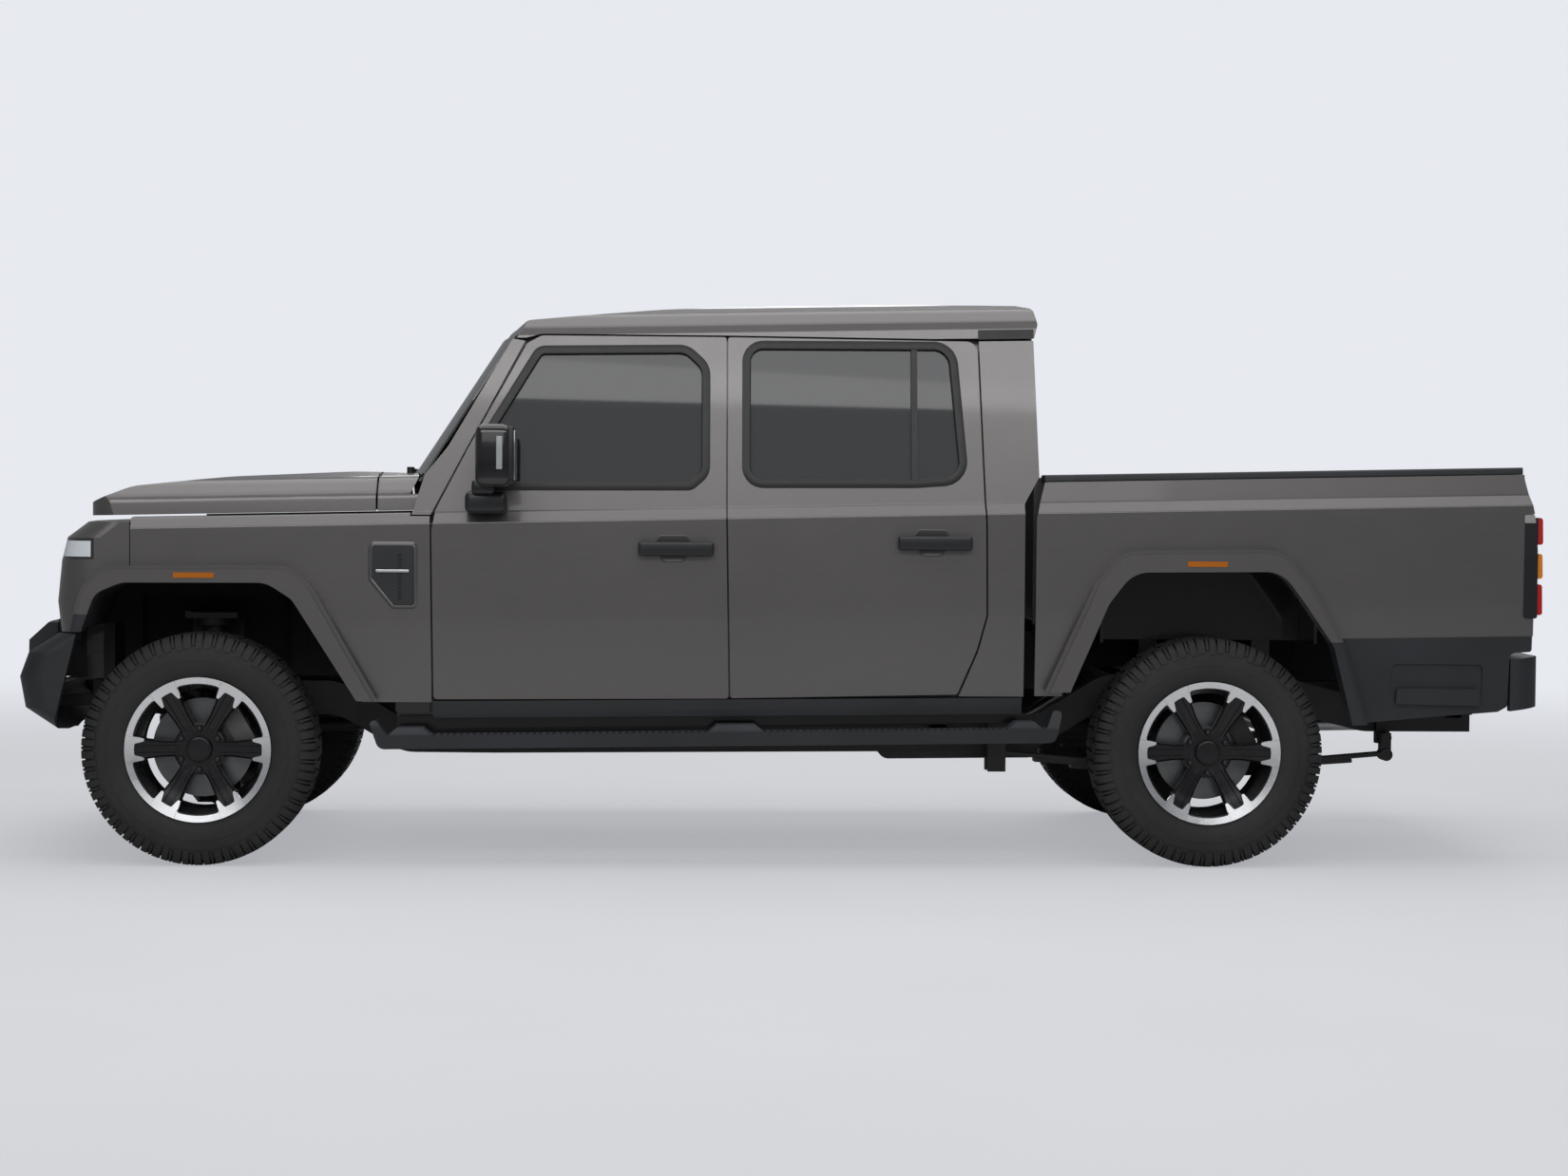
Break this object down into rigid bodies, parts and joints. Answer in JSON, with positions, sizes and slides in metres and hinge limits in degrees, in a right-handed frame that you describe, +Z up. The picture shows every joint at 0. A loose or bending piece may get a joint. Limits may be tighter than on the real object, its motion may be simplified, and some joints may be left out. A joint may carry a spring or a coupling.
{
  "type": "four-door pickup truck",
  "caption": "Double-cab pickup truck on a ladder frame, with a load bed, opening doors, hood and tailgate, steered front wheels and four rolling wheels.",
  "frame": {"origin": "on the ground under the middle of the truck's length and width", "axes": "+X towards the rear along the length, the front faces -X; +Y towards the truck's right side; +Z up"},
  "size_m": [5.3159, 2.266, 1.9351],
  "materials": {
    "body_paint": "metallic grey paint, clear coated",
    "grained_black": "grained",
    "gloss_black": "polished",
    "tinted_glass": "dark tint",
    "tyre_rubber": "moulded rubber",
    "rim_metal": "gloss black with machined pads",
    "frame_black": "satin black paint",
    "cast_metal": "as cast",
    "bare_steel": "heat dulled",
    "tank_plastic": "moulded",
    "headlamp_glass": "clear lens",
    "lamp_red": "clear coated lens",
    "lamp_amber": "clear coated lens",
    "dash_plastic": "soft grain",
    "seat_cloth": "woven"
  },
  "bodies": {
    "chassis_and_cab": {"arch_flares": "body_paint", "bed_box": "body_paint", "bed_rail_caps": "grained_black", "bumper_insert": "grained_black", "cab_body": "body_paint", "cab_glass": "tinted_glass", "chassis_frame": "frame_black", "cowl_panel": "grained_black", "dashboard": "dash_plastic", "driveline": "cast_metal", "engine": "cast_metal", "exhaust": "bare_steel", "fender_vents": "grained_black", "front_bumper": "grained_black", "front_fascia": "body_paint", "front_fenders": "body_paint", "front_seats": "seat_cloth", "front_suspension": "frame_black", "front_wheel_liners": "grained_black", "fuel_tank": "tank_plastic", "grille": "grained_black", "headlamps": "headlamp_glass", "leaf_springs": "frame_black", "lower_cladding": "grained_black", "radiator_support": "frame_black", "rear_axle": "cast_metal", "rear_bench": "seat_cloth", "rear_bumper": "grained_black", "roof_panel": "body_paint", "side_markers": "lamp_amber", "side_steps": "grained_black", "steering_wheel": "dash_plastic", "tail_lamps": "lamp_red", "wipers": "gloss_black"},
    "knuckle_left": {"knuckle_left": "cast_metal"},
    "knuckle_right": {"knuckle_right": "cast_metal"},
    "hood": {"hood": "body_paint"},
    "tailgate": {"tailgate": "body_paint"},
    "wheel_front_left": {"tyre_front_left": "tyre_rubber", "rim_front_left": "rim_metal"},
    "door_front_left": {"door_front_left": "body_paint", "door_glass_front_left": "tinted_glass", "door_handle_front_left": "gloss_black", "mirror_left": "gloss_black"},
    "wheel_front_right": {"tyre_front_right": "tyre_rubber", "rim_front_right": "rim_metal"},
    "door_front_right": {"door_front_right": "body_paint", "door_glass_front_right": "tinted_glass", "door_handle_front_right": "gloss_black", "mirror_right": "gloss_black"},
    "wheel_rear_left": {"tyre_rear_left": "tyre_rubber", "rim_rear_left": "rim_metal"},
    "door_rear_left": {"door_rear_left": "body_paint", "door_glass_rear_left": "tinted_glass", "door_handle_rear_left": "gloss_black"},
    "wheel_rear_right": {"tyre_rear_right": "tyre_rubber", "rim_rear_right": "rim_metal"},
    "door_rear_right": {"door_rear_right": "body_paint", "door_glass_rear_right": "tinted_glass", "door_handle_rear_right": "gloss_black"}
  },
  "joints": [
    {"name": "steer_left", "type": "hinge", "parent": "chassis_and_cab", "child": "knuckle_left", "pos_m": [-1.9805, -0.7, 0.394], "axis": [0, 0, 1], "range_deg": [-30, 30]},
    {"name": "roll_front_left", "type": "hinge", "parent": "knuckle_left", "child": "wheel_front_left", "pos_m": [-1.9805, -0.788, 0.394], "axis": [0, 1, 0], "continuous": true},
    {"name": "roll_rear_left", "type": "hinge", "parent": "chassis_and_cab", "child": "wheel_rear_left", "pos_m": [1.4545, -0.788, 0.394], "axis": [0, 1, 0], "continuous": true},
    {"name": "swing_door_front_left", "type": "hinge", "parent": "chassis_and_cab", "child": "door_front_left", "pos_m": [-1.202, -0.893, 1], "axis": [0, 0, -1], "range_deg": [0, 66]},
    {"name": "swing_door_rear_left", "type": "hinge", "parent": "chassis_and_cab", "child": "door_rear_left", "pos_m": [-0.2015, -0.893, 1], "axis": [0, 0, -1], "range_deg": [0, 66]},
    {"name": "steer_right", "type": "hinge", "parent": "chassis_and_cab", "child": "knuckle_right", "pos_m": [-1.9805, 0.7, 0.394], "axis": [0, 0, 1], "range_deg": [-30, 30]},
    {"name": "roll_front_right", "type": "hinge", "parent": "knuckle_right", "child": "wheel_front_right", "pos_m": [-1.9805, 0.788, 0.394], "axis": [0, 1, 0], "continuous": true},
    {"name": "roll_rear_right", "type": "hinge", "parent": "chassis_and_cab", "child": "wheel_rear_right", "pos_m": [1.4545, 0.788, 0.394], "axis": [0, 1, 0], "continuous": true},
    {"name": "swing_door_front_right", "type": "hinge", "parent": "chassis_and_cab", "child": "door_front_right", "pos_m": [-1.202, 0.893, 1], "axis": [0, 0, 1], "range_deg": [0, 66]},
    {"name": "swing_door_rear_right", "type": "hinge", "parent": "chassis_and_cab", "child": "door_rear_right", "pos_m": [-0.2015, 0.893, 1], "axis": [0, 0, 1], "range_deg": [0, 66]},
    {"name": "lift_hood", "type": "hinge", "parent": "chassis_and_cab", "child": "hood", "pos_m": [-1.404, 0, 1.342], "axis": [0, 1, 0], "range_deg": [0, 52]},
    {"name": "drop_tailgate", "type": "hinge", "parent": "chassis_and_cab", "child": "tailgate", "pos_m": [2.56, 0, 0.806], "axis": [0, 1, 0], "range_deg": [0, 90]}
  ],
  "couplings": [
    {"joint": "steer_right", "follows": "steer_left", "ratio": 1}
  ]
}
